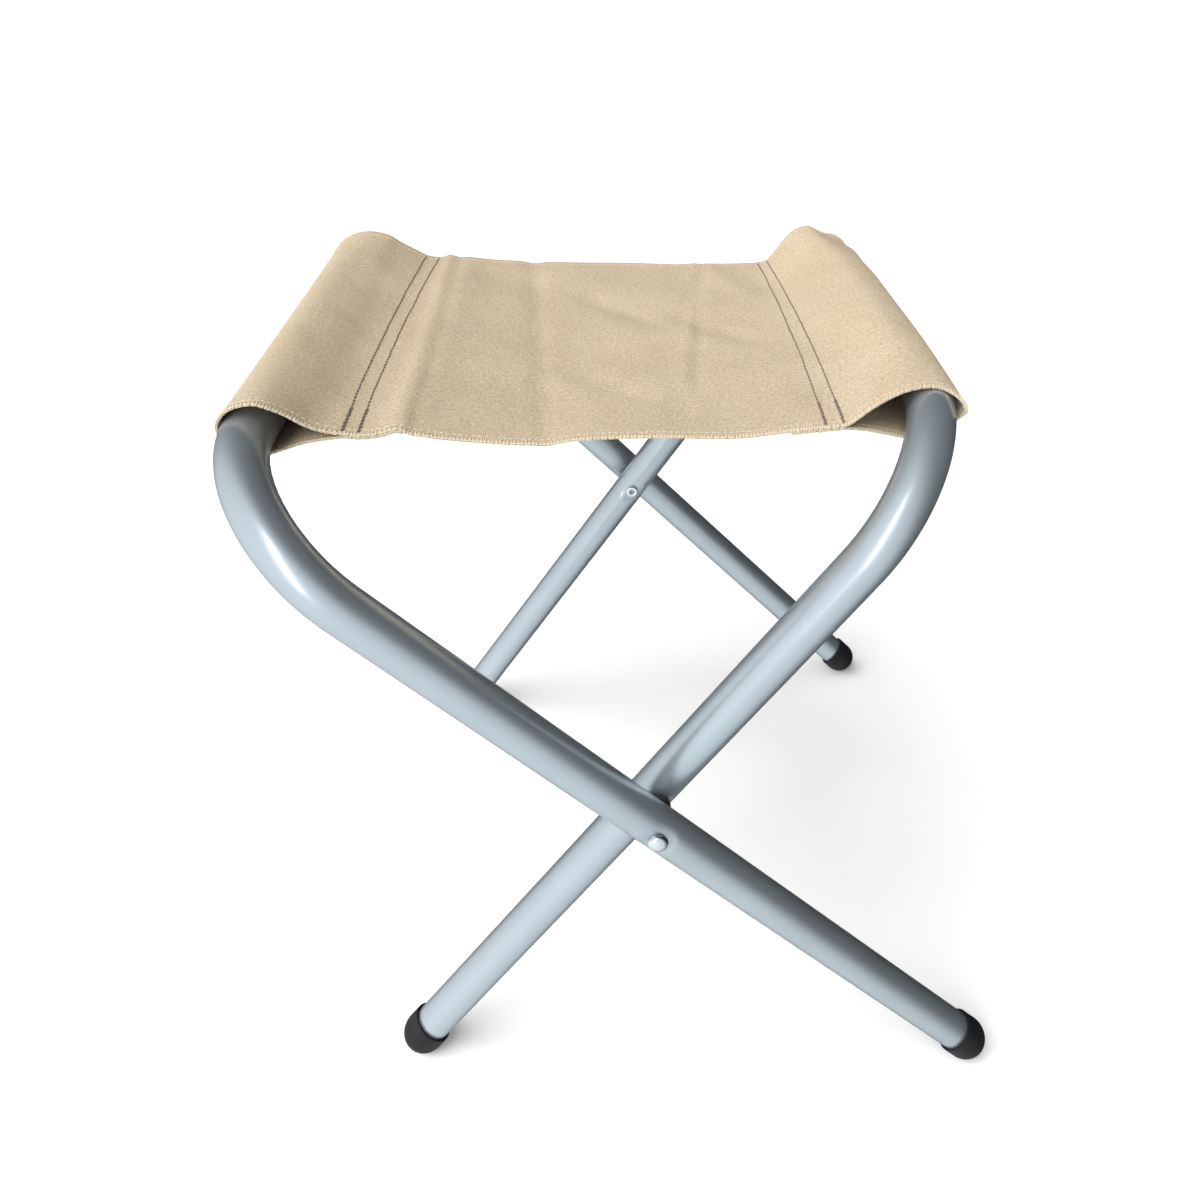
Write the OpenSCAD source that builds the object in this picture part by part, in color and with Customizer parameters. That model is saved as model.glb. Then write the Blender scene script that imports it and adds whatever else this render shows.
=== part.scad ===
// Folding camp stool: two nested U-shaped steel tube frames crossed on a pair of
// rivets, with a canvas seat sewn into a sleeve over each top rail.
// Millimetres, +Z up. X runs from the outer frame's rail to the inner frame's rail,
// and Y runs along the rails. The floor is z = 0.

/* [Tube] */
// Outside diameter of the steel tube
tube_d = 20; // [16:0.5:24]
// Wall thickness of the steel tube
tube_wall = 1.2; // [0.8:0.1:2]
// Centreline radius of the bend at each end of a rail
bend_r = 60; // [45:1:70]

/* [Frames] */
// Height of both rail centres above the pivot
rail_rise = 169; // [120:1:200]
// Drop from the pivot to the centres of the domed feet
foot_drop = 182; // [140:1:220]
// Distance between the leg centres of the outer frame
outer_width = 324; // [300:1:360]
// Lean of the outer frame away from upright, in degrees
outer_lean = 42.6; // [38:0.1:46]
// Lean of the inner frame away from upright, in degrees
inner_lean = 35.1; // [30:0.1:37]

/* [Pivots] */
// Thickness of the spacer between the two frames at each pivot
spacer_t = 2; // [1.5:0.1:3]
// Outside diameter of the spacer
spacer_d = 14; // [10:0.5:18]
// Diameter of the rivet's shank
rivet_d = 6; // [5:0.1:8]
// Radial running clearance between the rivet and the inner frame
rivet_clearance = 0.05; // [0.02:0.01:0.1]
// Diameter of the rivet's domed head
rivet_head_d = 9.4; // [8:0.1:12]
// Height of the rivet's domed head
rivet_head_h = 2.8; // [2:0.1:4]
// Diameter of the rivet's rolled-over end inside the frame
rivet_roll_d = 8; // [7:0.1:9]

/* [Foot caps] */
// Outside diameter of a foot cap and of its dome
cap_d = 23; // [22.5:0.1:26]
// Height of the cap's rim above the centre of its dome
cap_rise = 9.5; // [4:0.5:25]
// Distance that the tube reaches past the centre of the dome
tube_past = 3; // [0:0.1:3.5]
// Height that is worn flat off the bottom of each dome
cap_wear = 0.4; // [0.2:0.05:1]

/* [Seat canvas] */
// Length of the canvas along the rails
canvas_len = 216; // [180:1:240]
// Thickness of one layer of canvas
canvas_t = 1.1; // [0.6:0.1:2]
// Gap between the tube and the inside of the sleeve
sleeve_gap = 2; // [0.5:0.1:4]
// Distance from the rail centre to the first row of seam stitches
seam_reach = 40; // [35:1:60]
// Distance between the two rows of seam stitches
seam_pitch = 7; // [4:0.5:12]
// Distance that each flap reaches past the second row of seam stitches
flap_past = 13; // [3:0.5:20]
// Sag of the seat at the middle, below the seams
seat_sag = 6; // [2:0.5:20]
// Width of a row of stitches
stitch_w = 0.7; // [0.4:0.1:1.5]
// Height that a row of stitches stands above the canvas
stitch_h = 0.4; // [0.2:0.1:1]
// Distance from the canvas edge to the row of hem stitches
hem_inset = 3.5; // [2:0.5:10]
// Width of the overlock thread along each canvas edge
overlock_w = 1.2; // [0.6:0.1:3]

/* [Hidden] */
$fn = 64;

FRONT = -1;
REAR = 1;

tube_r = tube_d / 2;
cap_r = cap_d / 2;
inner_width = outer_width - 2 * (tube_d + spacer_t);

// Heights above the floor
foot_z = cap_r - cap_wear;
pivot_z = foot_z + foot_drop;
rail_z = pivot_z + rail_rise;

// Lengths along the legs, from the pivot to the rail centre and to the foot centre
outer_up = rail_rise / cos(outer_lean);
outer_down = foot_drop / cos(outer_lean);
inner_up = rail_rise / cos(inner_lean);
inner_down = foot_drop / cos(inner_lean);

// The sleeve's rounded part, measured from the rail centre
sleeve_in_r = tube_r + sleeve_gap;
sleeve_out_r = sleeve_in_r + canvas_t;

// The pivot stands off the origin, so that the origin is under the middle of the box
left_reach = outer_up * sin(outer_lean) + sleeve_out_r;
right_reach = outer_down * sin(outer_lean) + cap_r;
pivot_x = (left_reach - right_reach) / 2;
outer_rail_x = pivot_x - outer_up * sin(outer_lean);
inner_rail_x = pivot_x + inner_up * sin(inner_lean);

// Distance from the rail centre to the end of the sleeve's hollow, short of the stitches
hollow_end = seam_reach - 4;

// Ends of the single layer between the two flaps
flap_end = seam_reach + seam_pitch + flap_past;
panel_gap = 0.3;
panel_x0 = outer_rail_x + flap_end;
panel_x1 = inner_rail_x - flap_end - panel_gap;

// Gap left between the inner frame's bends and the canvas around them
bend_gap = 0.4;

// Rolled end of a rivet: height, edge rounding and the hollow in it
roll_h = 1.3;
roll_round = 0.9;
roll_hollow_d = 3;

// Running clearance between faces that turn past each other
hair = 0.05;

// Puts a frame's own axes (legs along Z, pivot at the origin) into the stool,
// leaning left (turn > 0 tips the top towards -X) or right
module lean(turn) {
    translate([pivot_x, 0, pivot_z]) rotate([0, -turn, 0]) children();
}

// A straight round bar from z = a to z = b
module bar(r, a, b) {
    translate([0, 0, a]) cylinder(r = r, h = b - a);
}

// A U of round section with its rail at height up and its legs down to -down
module u_solid(r, width, up, down) {
    half = width / 2;
    for (side = [FRONT, REAR]) {
        translate([0, side * half, 0]) bar(r, -down, up - bend_r);
        translate([0, side * (half - bend_r), up - bend_r])
            rotate([0, 0, side * 90])
                rotate([90, 0, 0])
                    rotate_extrude(angle = 90)
                        translate([bend_r, 0]) circle(r = r);
    }
    translate([0, bend_r - half, up])
        rotate([-90, 0, 0]) cylinder(r = r, h = width - 2 * bend_r);
}

// The bent tube, drilled through both legs at the pivot
module u_tube(width, up, down, hole_r) {
    difference() {
        u_solid(tube_r, width, up, down);
        u_solid(tube_r - tube_wall, width, up, down + 1);
        translate([0, width, 0])
            rotate([90, 0, 0]) cylinder(r = hole_r, h = 2 * width);
    }
}

module outer_frame() {
    color("lightsteelblue") lean(outer_lean)
        u_tube(outer_width, outer_up, outer_down + tube_past, rivet_d / 2);
}

module inner_frame() {
    color("slategray") lean(-inner_lean)
        u_tube(inner_width, inner_up, inner_down + tube_past, rivet_d / 2 + rivet_clearance);
}

// A domed rivet head about Z, its rim at z = foot and its dome starting at z = 0
module rivet_head(foot) {
    rotate_extrude() polygon(concat(
        [[0, foot], [rivet_head_d / 2, foot]],
        [for (a = [0:10:90]) [rivet_head_d / 2 * cos(a), rivet_head_h * sin(a)]]
    ));
}

// The rolled-over end of a rivet about Z, from z = 0 down, with its hollow
module rivet_roll() {
    edge = rivet_roll_d / 2 - roll_round;
    difference() {
        rotate_extrude() polygon(concat(
            [[0, -roll_h]],
            [for (a = [0:15:90]) [edge + roll_round * sin(a), -roll_h + roll_round * (1 - cos(a))]],
            [[rivet_roll_d / 2, 0], [0, 0]]
        ));
        translate([0, 0, -roll_h - 1]) cylinder(d = roll_hollow_d, h = roll_h + 2);
    }
}

// Rivet along +Y: domed head outside the outer frame, shank through both tubes,
// and a rolled-over hollow end inside the inner frame
module rivet() {
    head_y = outer_width / 2 + tube_r;
    end_y = inner_width / 2 - tube_r - hair;
    sink = tube_r - sqrt(tube_r * tube_r - rivet_head_d * rivet_head_d / 4);
    // the head's underside is pressed to the round of the tube
    difference() {
        translate([0, head_y, 0]) rotate([-90, 0, 0]) rivet_head(-sink);
        translate([0, outer_width / 2, 0]) rotate([0, -outer_lean, 0])
            cylinder(r = tube_r, h = 4 * rivet_head_d, center = true);
    }
    difference() {
        translate([0, end_y, 0]) rotate([-90, 0, 0])
            cylinder(d = rivet_d, h = head_y + rivet_head_h / 2 - end_y);
        translate([0, end_y - 1, 0]) rotate([-90, 0, 0])
            cylinder(d = roll_hollow_d, h = 8);
    }
    translate([0, end_y, 0]) rotate([-90, 0, 0]) rivet_roll();
}

module pivot_rivet(side) {
    color("gainsboro") translate([pivot_x, 0, pivot_z])
        mirror([0, side == REAR ? 0 : 1, 0]) rivet();
}

module pivot_rivet_front() { pivot_rivet(FRONT); }
module pivot_rivet_rear() { pivot_rivet(REAR); }

// Flat ring between the two tubes; it stays with the outer frame
module pivot_spacer(side) {
    near = inner_width / 2 + tube_r + hair;
    far = outer_width / 2 - tube_r;
    color("dimgray") translate([pivot_x, side * (near + far) / 2, pivot_z])
        rotate([90, 0, 0]) difference() {
            cylinder(d = spacer_d, h = far - near, center = true);
            cylinder(r = rivet_d / 2, h = spacer_t + 2, center = true);
        }
}

module pivot_spacer_front() { pivot_spacer(FRONT); }
module pivot_spacer_rear() { pivot_spacer(REAR); }

// Half section of a foot cap, from its axis outwards
module cap_section() {
    lip = 0.5;
    difference() {
        union() {
            intersection() {
                circle(r = cap_r);
                translate([0, -cap_r]) square([cap_r, cap_r]);
            }
            polygon([[0, 0], [cap_r, 0], [cap_r, cap_rise - lip], [cap_r - lip, cap_rise], [0, cap_rise]]);
        }
        translate([-1, -tube_past]) square([tube_r + 1, tube_past + cap_rise + 1]);
    }
}

// Cup-shaped cap on the end of a leg, with its bottom worn flat at the floor
module foot_cap(turn, down, y) {
    color([0.15, 0.15, 0.16]) difference() {
        lean(turn) translate([0, y, -down]) rotate_extrude() cap_section();
        translate([-outer_width, -outer_width, -cap_d])
            cube([2 * outer_width, 2 * outer_width, cap_d]);
    }
}

module foot_cap_outer_front() { foot_cap(outer_lean, outer_down, -outer_width / 2); }
module foot_cap_outer_rear() { foot_cap(outer_lean, outer_down, outer_width / 2); }
module foot_cap_inner_front() { foot_cap(-inner_lean, inner_down, -inner_width / 2); }
module foot_cap_inner_rear() { foot_cap(-inner_lean, inner_down, inner_width / 2); }

// Runs a flat outline in X and Z along Y, from y = a to y = b
module along_y(a, b) {
    translate([0, b, 0]) rotate([90, 0, 0]) linear_extrude(b - a) children();
}

// A teardrop: an arc of radius r about the origin that closes to a point at reach along +X
module teardrop(r, reach) {
    tip = acos(r / reach);
    steps = 24;
    polygon(concat(
        [[reach, 0]],
        [for (i = [0:steps]) let (a = tip + (360 - 2 * tip) * i / steps) r * [cos(a), sin(a)]]
    ));
}

// Sleeve outline about the rail centre, with its two-layer flap towards +X
module sleeve_2d() {
    difference() {
        union() {
            teardrop(sleeve_out_r, seam_reach);
            translate([hollow_end, -canvas_t]) square([flap_end - hollow_end, 2 * canvas_t]);
        }
        teardrop(sleeve_in_r, hollow_end);
    }
}

module sleeve_left() {
    color("tan") along_y(-canvas_len / 2, canvas_len / 2)
        translate([outer_rail_x, rail_z]) sleeve_2d();
}

// The right sleeve reaches past the ends of the straight rail, so its underside is
// notched where the bends come down through it
module sleeve_right() {
    color("burlywood") difference() {
        along_y(-canvas_len / 2, canvas_len / 2)
            translate([inner_rail_x, rail_z]) mirror([1, 0]) sleeve_2d();
        lean(-inner_lean) u_solid(tube_r + bend_gap, inner_width, inner_up, 0);
    }
}

// Height of the top of the panel at x, hanging in a shallow curve between the seams
function panel_top(x) =
    let (half = (panel_x1 - panel_x0) / 2, u = (x - panel_x0 - half) / half)
    rail_z + canvas_t - seat_sag * (1 - u * u);
PANEL_STEPS = 12;
panel_xs = [for (i = [0:PANEL_STEPS]) panel_x0 + (panel_x1 - panel_x0) * i / PANEL_STEPS];

// The panel's outline, from lift above its top to depth below its top
module panel_2d(lift, depth) {
    polygon(concat(
        [for (x = panel_xs) [x, panel_top(x) + lift]],
        [for (i = [PANEL_STEPS:-1:0]) [panel_xs[i], panel_top(panel_xs[i]) - depth]]
    ));
}

module seat_panel() {
    color("wheat") along_y(-canvas_len / 2, canvas_len / 2) panel_2d(0, canvas_t);
}

// A row of stitches along Y on top of a sleeve's flap
module seam_row(x) {
    color([0.25, 0.2, 0.17]) translate([x - stitch_w / 2, -canvas_len / 2, rail_z + canvas_t])
        cube([stitch_w, canvas_len, stitch_h]);
}

module seam_stitches_left_outer() { seam_row(outer_rail_x + seam_reach); }
module seam_stitches_left_inner() { seam_row(outer_rail_x + seam_reach + seam_pitch); }
module seam_stitches_right_inner() { seam_row(inner_rail_x - seam_reach - seam_pitch); }
module seam_stitches_right_outer() { seam_row(inner_rail_x - seam_reach); }

// A row of stitches across the panel, from one sleeve's flap to the other
module hem_row(side) {
    y = side * (canvas_len / 2 - hem_inset);
    color("ivory") along_y(y - stitch_w / 2, y + stitch_w / 2) panel_2d(stitch_h, 0);
}

module hem_stitches_front() { hem_row(FRONT); }
module hem_stitches_rear() { hem_row(REAR); }

// Thread bound over the raw edge of the panel
module overlock(side) {
    y = side * (canvas_len + overlock_w) / 2;
    color("cornsilk") along_y(y - overlock_w / 2, y + overlock_w / 2) panel_2d(stitch_h, canvas_t);
}

module edge_overlock_front() { overlock(FRONT); }
module edge_overlock_rear() { overlock(REAR); }

outer_frame();
inner_frame();
pivot_rivet_front();
pivot_rivet_rear();
pivot_spacer_front();
pivot_spacer_rear();
foot_cap_outer_front();
foot_cap_outer_rear();
foot_cap_inner_front();
foot_cap_inner_rear();
sleeve_left();
seat_panel();
sleeve_right();
seam_stitches_left_outer();
seam_stitches_left_inner();
seam_stitches_right_inner();
seam_stitches_right_outer();
hem_stitches_front();
hem_stitches_rear();
edge_overlock_front();
edge_overlock_rear();
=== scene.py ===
"""Folding camp stool: two enamelled tube frames on a pair of rivets, rubber feet and a
sewn canvas seat. Everything is in metres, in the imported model's frame; the tables of
shape below are in millimetres and pass through MM."""
import math

import bmesh
import bpy
import numpy as np
from mathutils import Matrix, Vector


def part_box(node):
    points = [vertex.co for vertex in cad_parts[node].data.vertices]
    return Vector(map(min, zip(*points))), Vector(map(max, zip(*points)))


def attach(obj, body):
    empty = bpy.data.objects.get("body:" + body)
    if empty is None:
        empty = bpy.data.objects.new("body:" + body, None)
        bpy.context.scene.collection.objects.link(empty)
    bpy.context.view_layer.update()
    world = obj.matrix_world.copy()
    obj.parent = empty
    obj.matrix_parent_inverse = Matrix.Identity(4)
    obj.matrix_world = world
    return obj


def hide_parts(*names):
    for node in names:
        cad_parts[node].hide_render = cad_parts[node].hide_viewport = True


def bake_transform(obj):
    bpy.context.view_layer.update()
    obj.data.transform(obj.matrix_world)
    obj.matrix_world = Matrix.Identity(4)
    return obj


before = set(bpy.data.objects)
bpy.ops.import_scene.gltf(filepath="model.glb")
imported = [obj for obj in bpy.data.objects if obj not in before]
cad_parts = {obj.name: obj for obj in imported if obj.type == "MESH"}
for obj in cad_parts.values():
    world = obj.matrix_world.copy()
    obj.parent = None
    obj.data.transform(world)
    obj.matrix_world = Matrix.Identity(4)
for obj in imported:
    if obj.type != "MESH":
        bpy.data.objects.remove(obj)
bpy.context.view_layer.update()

MM = 0.001

# Sizes of the frames, in millimetres, as in the CAD
TUBE_R = 10.0
TUBE_WALL = 1.2
BEND_R = 60.0
# heights from the pivot up to the rails and down to the centres of the caps' domes
RISE, DROP = 169.0, 182.0
# from the middle of one leg to the middle of the other
OUTER_WIDTH, INNER_WIDTH = 324.0, 280.0
OUTER_LEAN, INNER_LEAN = math.radians(42.6), math.radians(-35.1)
# the caps' radius, how far they reach up from the dome's centre, and the tube past it
CAP_R, CAP_RISE, TUBE_PAST = 11.5, 9.5, 3.0
# how far the caps' rims are pushed up the legs, on the upper side and on the front
CAP_ASKEW = 2.6, 2.0
RIVET_R = 3.0
RIVET_HOLE_R = RIVET_R + 0.05
# how deep the tubes are pressed in at the rivet's ends, and beside the spacer
PRESSED_DEEP, PRESSED_LIGHT = 0.75, 0.3

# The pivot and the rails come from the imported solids
_low, _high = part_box("pivot_spacer_front")
PIVOT_X, PIVOT_Z = [(_low[i] + _high[i]) / 2 / MM for i in (0, 2)]
PIVOT = (PIVOT_X, 0, PIVOT_Z)
RAIL_Z = PIVOT_Z + RISE
LEFT_RAIL_X = PIVOT_X - RISE * math.tan(OUTER_LEAN)
RIGHT_RAIL_X = PIVOT_X - RISE * math.tan(INNER_LEAN)


# ---- small helpers

def smooth(t):
    """A soft step from 0 to 1 as t goes from 0 to 1."""
    t = np.clip(t, 0.0, 1.0)
    return t * t * (3 - 2 * t)


def unit(vectors):
    """Vectors brought to length 1 along the last axis."""
    return vectors / np.maximum(np.linalg.norm(vectors, axis=-1, keepdims=True), 1e-9)


def new_object(name, points, faces, uvs=None, shade=True):
    """A mesh object from points in millimetres and faces, with optional UVs per point."""
    mesh = bpy.data.meshes.new(name)
    mesh.from_pydata((np.asarray(points, float) * MM).tolist(), [],
                     [list(map(int, f)) for f in faces])
    if uvs is not None:
        layer = mesh.uv_layers.new(name="cloth")
        loops = np.empty(len(mesh.loops), np.int32)
        mesh.loops.foreach_get("vertex_index", loops)
        layer.data.foreach_set("uv", np.asarray(uvs, np.float32)[loops].ravel())
    mesh.validate()
    if shade:
        mesh.polygons.foreach_set("use_smooth", np.ones(len(mesh.polygons), bool))
    obj = bpy.data.objects.new(name, mesh)
    bpy.context.scene.collection.objects.link(obj)
    return obj


def outward(obj):
    """Turns every face outwards."""
    bm = bmesh.new()
    bm.from_mesh(obj.data)
    bmesh.ops.recalc_face_normals(bm, faces=bm.faces)
    bm.to_mesh(obj.data)
    bm.free()
    return obj


def apply_modifiers(obj):
    """Replaces the mesh by its evaluated shape, so that no modifier is left."""
    depsgraph = bpy.context.evaluated_depsgraph_get()
    depsgraph.update()
    mesh = bpy.data.meshes.new_from_object(obj.evaluated_get(depsgraph))
    obj.modifiers.clear()
    old = obj.data
    obj.data = mesh
    mesh.name = obj.name
    bpy.data.meshes.remove(old)


def grid_faces(rows, columns, closed=False, start=0):
    """Quads of a rows x columns grid of points, each row closed into a ring or not."""
    faces = []
    for i in range(rows - 1):
        here, after = start + i * columns, start + (i + 1) * columns
        for j in range(columns if closed else columns - 1):
            k = (j + 1) % columns
            faces.append((here + j, here + k, after + k, after + j))
    return faces


def lean_points(local, lean):
    """From a frame's own axes (legs along z, pivot at the origin) into the stool."""
    c, s = math.cos(lean), math.sin(lean)
    x, y, z = local[..., 0], local[..., 1], local[..., 2]
    return np.stack([PIVOT_X + x * c - z * s, y, PIVOT_Z + x * s + z * c], -1)


# ---- materials

class Nodes:
    """A short way to build the node tree of a material or a world."""

    def __init__(self, owner):
        owner.use_nodes = True
        self.tree = owner.node_tree

    def add(self, kind, **settings):
        node = self.tree.nodes.new(kind)
        for key, value in settings.items():
            setattr(node, key, value)
        return node

    def link(self, source, target):
        self.tree.links.new(source, target)

    def feed(self, node, sources):
        """Links or sets a node's inputs, given by name or by number."""
        for key, value in sources.items():
            if hasattr(value, "is_output"):
                self.link(value, node.inputs[key])
            else:
                node.inputs[key].default_value = value
        return node

    def math(self, operation, a, b=0.0, clamp=False):
        node = self.add("ShaderNodeMath", operation=operation, use_clamp=clamp)
        return self.feed(node, {0: a, 1: b}).outputs[0]

    def scaled(self, value, times, plus):
        """value x times + plus, with both numbers fixed."""
        node = self.add("ShaderNodeMath", operation="MULTIPLY_ADD")
        return self.feed(node, {0: value, 1: times, 2: plus}).outputs[0]

    def weighted(self, *terms):
        """The sum of values, each given with its weight."""
        total, *parts = [self.math("MULTIPLY", value, weight) for value, weight in terms]
        for part in parts:
            total = self.math("ADD", total, part)
        return total

    def place(self, scale=(1, 1, 1), rotation=(0, 0, 0), uv=False):
        """Object coordinates in metres, or the cloth's own in millimetres, scaled."""
        source = self.add("ShaderNodeUVMap", uv_map="cloth").outputs["UV"] if uv else \
            self.add("ShaderNodeTexCoord").outputs["Object"]
        mapping = self.add("ShaderNodeMapping")
        self.feed(mapping, {"Vector": source, "Scale": scale, "Rotation": rotation})
        return mapping.outputs["Vector"]

    def noise(self, vector, scale, detail, roughness):
        node = self.add("ShaderNodeTexNoise")
        self.feed(node, {"Vector": vector, "Scale": scale, "Detail": detail,
                         "Roughness": roughness})
        return node.outputs["Fac"]

    def ramp(self, value, stops):
        """A colour ramp through stops, each a position and a colour."""
        node = self.add("ShaderNodeValToRGB")
        elements = node.color_ramp.elements
        while len(elements) < len(stops):
            elements.new(0.5)
        for element, (position, colour) in zip(elements, stops):
            element.position = position
            element.color = (*colour, 1)
        self.link(value, node.inputs["Fac"])
        return node.outputs["Color"]

    def mix(self, factor, a, b, blend="MIX"):
        node = self.add("ShaderNodeMix", data_type="RGBA", blend_type=blend)
        node.clamp_factor = True
        # the colour sockets of a Mix node are its inputs 6 and 7, and its output 2
        a, b = [c if hasattr(c, "is_output") else (*c, 1) for c in (a, b)]
        return self.feed(node, {0: factor, 6: a, 7: b}).outputs[2]

    def bump(self, height, strength, distance, base=None):
        node = self.add("ShaderNodeBump")
        self.feed(node, {"Height": height, "Strength": strength, "Distance": distance})
        if base is not None:
            self.link(base, node.inputs["Normal"])
        return node.outputs["Normal"]


class Surface(Nodes):
    """A material with one Principled shader."""

    def __init__(self, name):
        self.material = bpy.data.materials.new(name)
        super().__init__(self.material)
        self.tree.nodes.clear()
        self.shader = self.add("ShaderNodeBsdfPrincipled")
        out = self.add("ShaderNodeOutputMaterial")
        self.link(self.shader.outputs["BSDF"], out.inputs["Surface"])

    def constants(self, **values):
        """Sets the shader's own sockets."""
        for key, value in values.items():
            self.shader.inputs[key.replace("_", " ")].default_value = value

    def finish(self, colour, roughness=None, normal=None):
        """Links what varies over the surface, and gives the finished material."""
        for value, name in ((colour, "Base Color"), (roughness, "Roughness"),
                            (normal, "Normal")):
            if value is not None:
                self.link(value, self.shader.inputs[name])
        return self.material


def enamel_material():
    """Glossy blue-grey enamel over steel, with a fine orange peel and small knocks."""
    n = Surface("frame_enamel")
    n.constants(Metallic=0.76, Coat_Weight=0.50, Coat_Roughness=0.05, Coat_IOR=1.5,
                IOR=1.5)
    here = n.place()
    cloudy = n.noise(here, 22, 4, 0.55)
    colour = n.ramp(cloudy, [(0.3, (0.418, 0.474, 0.518)), (0.7, (0.452, 0.512, 0.558))])
    specks = n.noise(here, 1500, 2, 0.6)
    rarest = 0.735
    knocks = n.math("MULTIPLY", n.math("GREATER_THAN", specks, rarest), 0.35)
    colour = n.mix(knocks, colour, (0.66, 0.72, 0.75))
    patches = n.noise(here, 9, 3, 0.5)
    rough = n.scaled(patches, 0.10, 0.25)
    rough = n.math("ADD", rough, n.math("MULTIPLY", knocks, 0.3))
    peel = n.noise(here, 380, 2, 0.5)
    return n.finish(colour, rough, n.bump(peel, 0.06, 0.0002))


def steel_material():
    """Bright zinc-plated steel with fine marks."""
    n = Surface("rivet_steel")
    n.constants(Metallic=1.0)
    here = n.place()
    marks = n.noise(n.place(scale=(500, 500, 3000)), 1, 3, 0.6)
    colour = n.ramp(marks, [(0.3, (0.60, 0.63, 0.66)), (0.7, (0.78, 0.81, 0.84))])
    rough = n.scaled(n.noise(here, 900, 3, 0.6), 0.14, 0.10)
    return n.finish(colour, rough, n.bump(n.noise(here, 600, 2, 0.5), 0.25, 0.0002))


def nylon_material():
    """Dark moulded nylon."""
    n = Surface("spacer_nylon")
    n.constants(IOR=1.5)
    here = n.place()
    colour = n.ramp(n.noise(here, 300, 3, 0.6),
                    [(0.3, (0.020, 0.020, 0.022)), (0.7, (0.034, 0.034, 0.037))])
    rough = n.scaled(n.noise(here, 500, 2, 0.5), 0.2, 0.42)
    return n.finish(colour, rough, n.bump(n.noise(here, 1500, 2, 0.5), 0.2, 0.0001))


def rubber_material():
    """Black moulded rubber, a little dusty and scuffed towards the floor."""
    n = Surface("foot_rubber")
    n.constants(IOR=1.48, Specular_IOR_Level=0.13)
    here = n.place()
    height = n.add("ShaderNodeSeparateXYZ")
    n.link(here, height.inputs[0])
    dusty_to = 0.007
    low = n.math("SUBTRACT", 1.0, n.math("MULTIPLY", height.outputs["Z"], 1 / dusty_to),
                 clamp=True)
    grain = n.noise(here, 900, 3, 0.65)
    dust = n.math("MULTIPLY", low, n.math("MULTIPLY", grain, 0.3), clamp=True)
    colour = n.ramp(n.noise(here, 120, 4, 0.6),
                    [(0.3, (0.010, 0.010, 0.011)), (0.75, (0.020, 0.020, 0.023))])
    colour = n.mix(dust, colour, (0.085, 0.080, 0.074))
    rough = n.scaled(n.noise(here, 200, 3, 0.6), 0.25, 0.36)
    rough = n.math("ADD", rough, n.math("MULTIPLY", dust, 0.4))
    return n.finish(colour, rough, n.bump(grain, 0.35, 0.00015))


YARN = 0.74  # millimetres from yarn to yarn


def canvas_material():
    """Plain-woven cotton-polyester canvas, in the cloth's own millimetres."""
    n = Surface("canvas")
    n.constants(Sheen_Weight=0.15, Sheen_Roughness=0.45, Specular_IOR_Level=0.2)
    n.shader.inputs["Sheen Tint"].default_value = (1.0, 0.93, 0.80, 1)
    flat = n.place(uv=True)
    axes = n.add("ShaderNodeSeparateXYZ")
    n.link(flat, axes.inputs[0])
    # each yarn wanders a little
    drift = n.math("MULTIPLY", n.noise(flat, 0.8, 2, 0.5), 1.1)
    waves = []
    for axis in "XY":
        wandering = n.math("ADD", axes.outputs[axis], drift)
        waves.append(n.math("SINE", n.math("MULTIPLY", wandering, math.pi / YARN)))
    # 1 where a yarn lies on top, 0 in the gaps between yarns
    crown = n.math("ABSOLUTE", n.math("MULTIPLY", *waves))
    gap_level = 0.20
    # thick and thin lengths of yarn, in both directions
    slub_x = n.noise(n.place(scale=(0.30, 1.5, 1), uv=True), 1, 4, 0.66)
    slub_y = n.noise(n.place(scale=(1.5, 0.30, 1), uv=True), 1, 4, 0.66)
    slubs = n.math("ADD", slub_x, slub_y)
    fuzz = n.noise(flat, 0.62, 4, 0.84)
    cloud = n.noise(flat, 0.035, 4, 0.60)
    # the crown term paints the yarns' tops a little lighter, a painted highlight; slubs,
    # cloud and fuzz are the cloth's own tone
    tone_and_crown_light = n.weighted((slubs, 0.20), (cloud, 0.18), (fuzz, 1.05), (crown, 0.10))
    colour = n.ramp(tone_and_crown_light, [(0.52, (0.300, 0.225, 0.144)), (0.80, (0.475, 0.382, 0.268)),
                           (1.0, (0.642, 0.545, 0.409))])
    # the dye is a little warmer in some patches than in others
    warmth = n.math("MULTIPLY", n.noise(flat, 0.022, 2, 0.5), 0.55)
    colour = n.mix(warmth, colour, (0.985, 0.90, 0.84), "MULTIPLY")
    # the gaps between yarns are painted darker, a painted shade in the hollows between the
    # yarns
    gap_shade = n.math("MULTIPLY", n.math("LESS_THAN", crown, gap_level), 0.34)
    colour = n.mix(gap_shade, colour, (0.300, 0.215, 0.135))
    rough = n.scaled(fuzz, 0.12, 0.80)
    relief = n.weighted((crown, 0.40), (slubs, 0.35), (fuzz, 0.9))
    normal = n.bump(n.noise(flat, 0.075, 3, 0.5), 0.5, 0.0015)
    normal = n.bump(relief, 0.60, 0.0004, normal)
    return n.finish(colour, rough, normal)


def thread_material(name, dark, light, roughness):
    """Twisted sewing thread."""
    n = Surface(name)
    n.constants(Sheen_Weight=0.25, Sheen_Roughness=0.5)
    here = n.place(rotation=(0.5, 0.4, 0.7))
    twist = n.add("ShaderNodeTexWave", wave_type="BANDS", bands_direction="DIAGONAL")
    n.feed(twist, {"Vector": here, "Scale": 900.0, "Distortion": 1.5, "Detail": 1.0})
    # the twist's bands paint the plies darker in their grooves and lighter on their
    # crests, a painted shade and highlight; the noise adds the thread's own tone
    shade = n.weighted((twist.outputs["Fac"], 0.6), (n.noise(here, 700, 3, 0.6), 0.5))
    colour = n.ramp(shade, [(0.25, dark), (0.8, light)])
    rough = n.scaled(twist.outputs["Fac"], 0.15, roughness)
    return n.finish(colour, rough, n.bump(twist.outputs["Fac"], 0.5, 0.0001))


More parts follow.
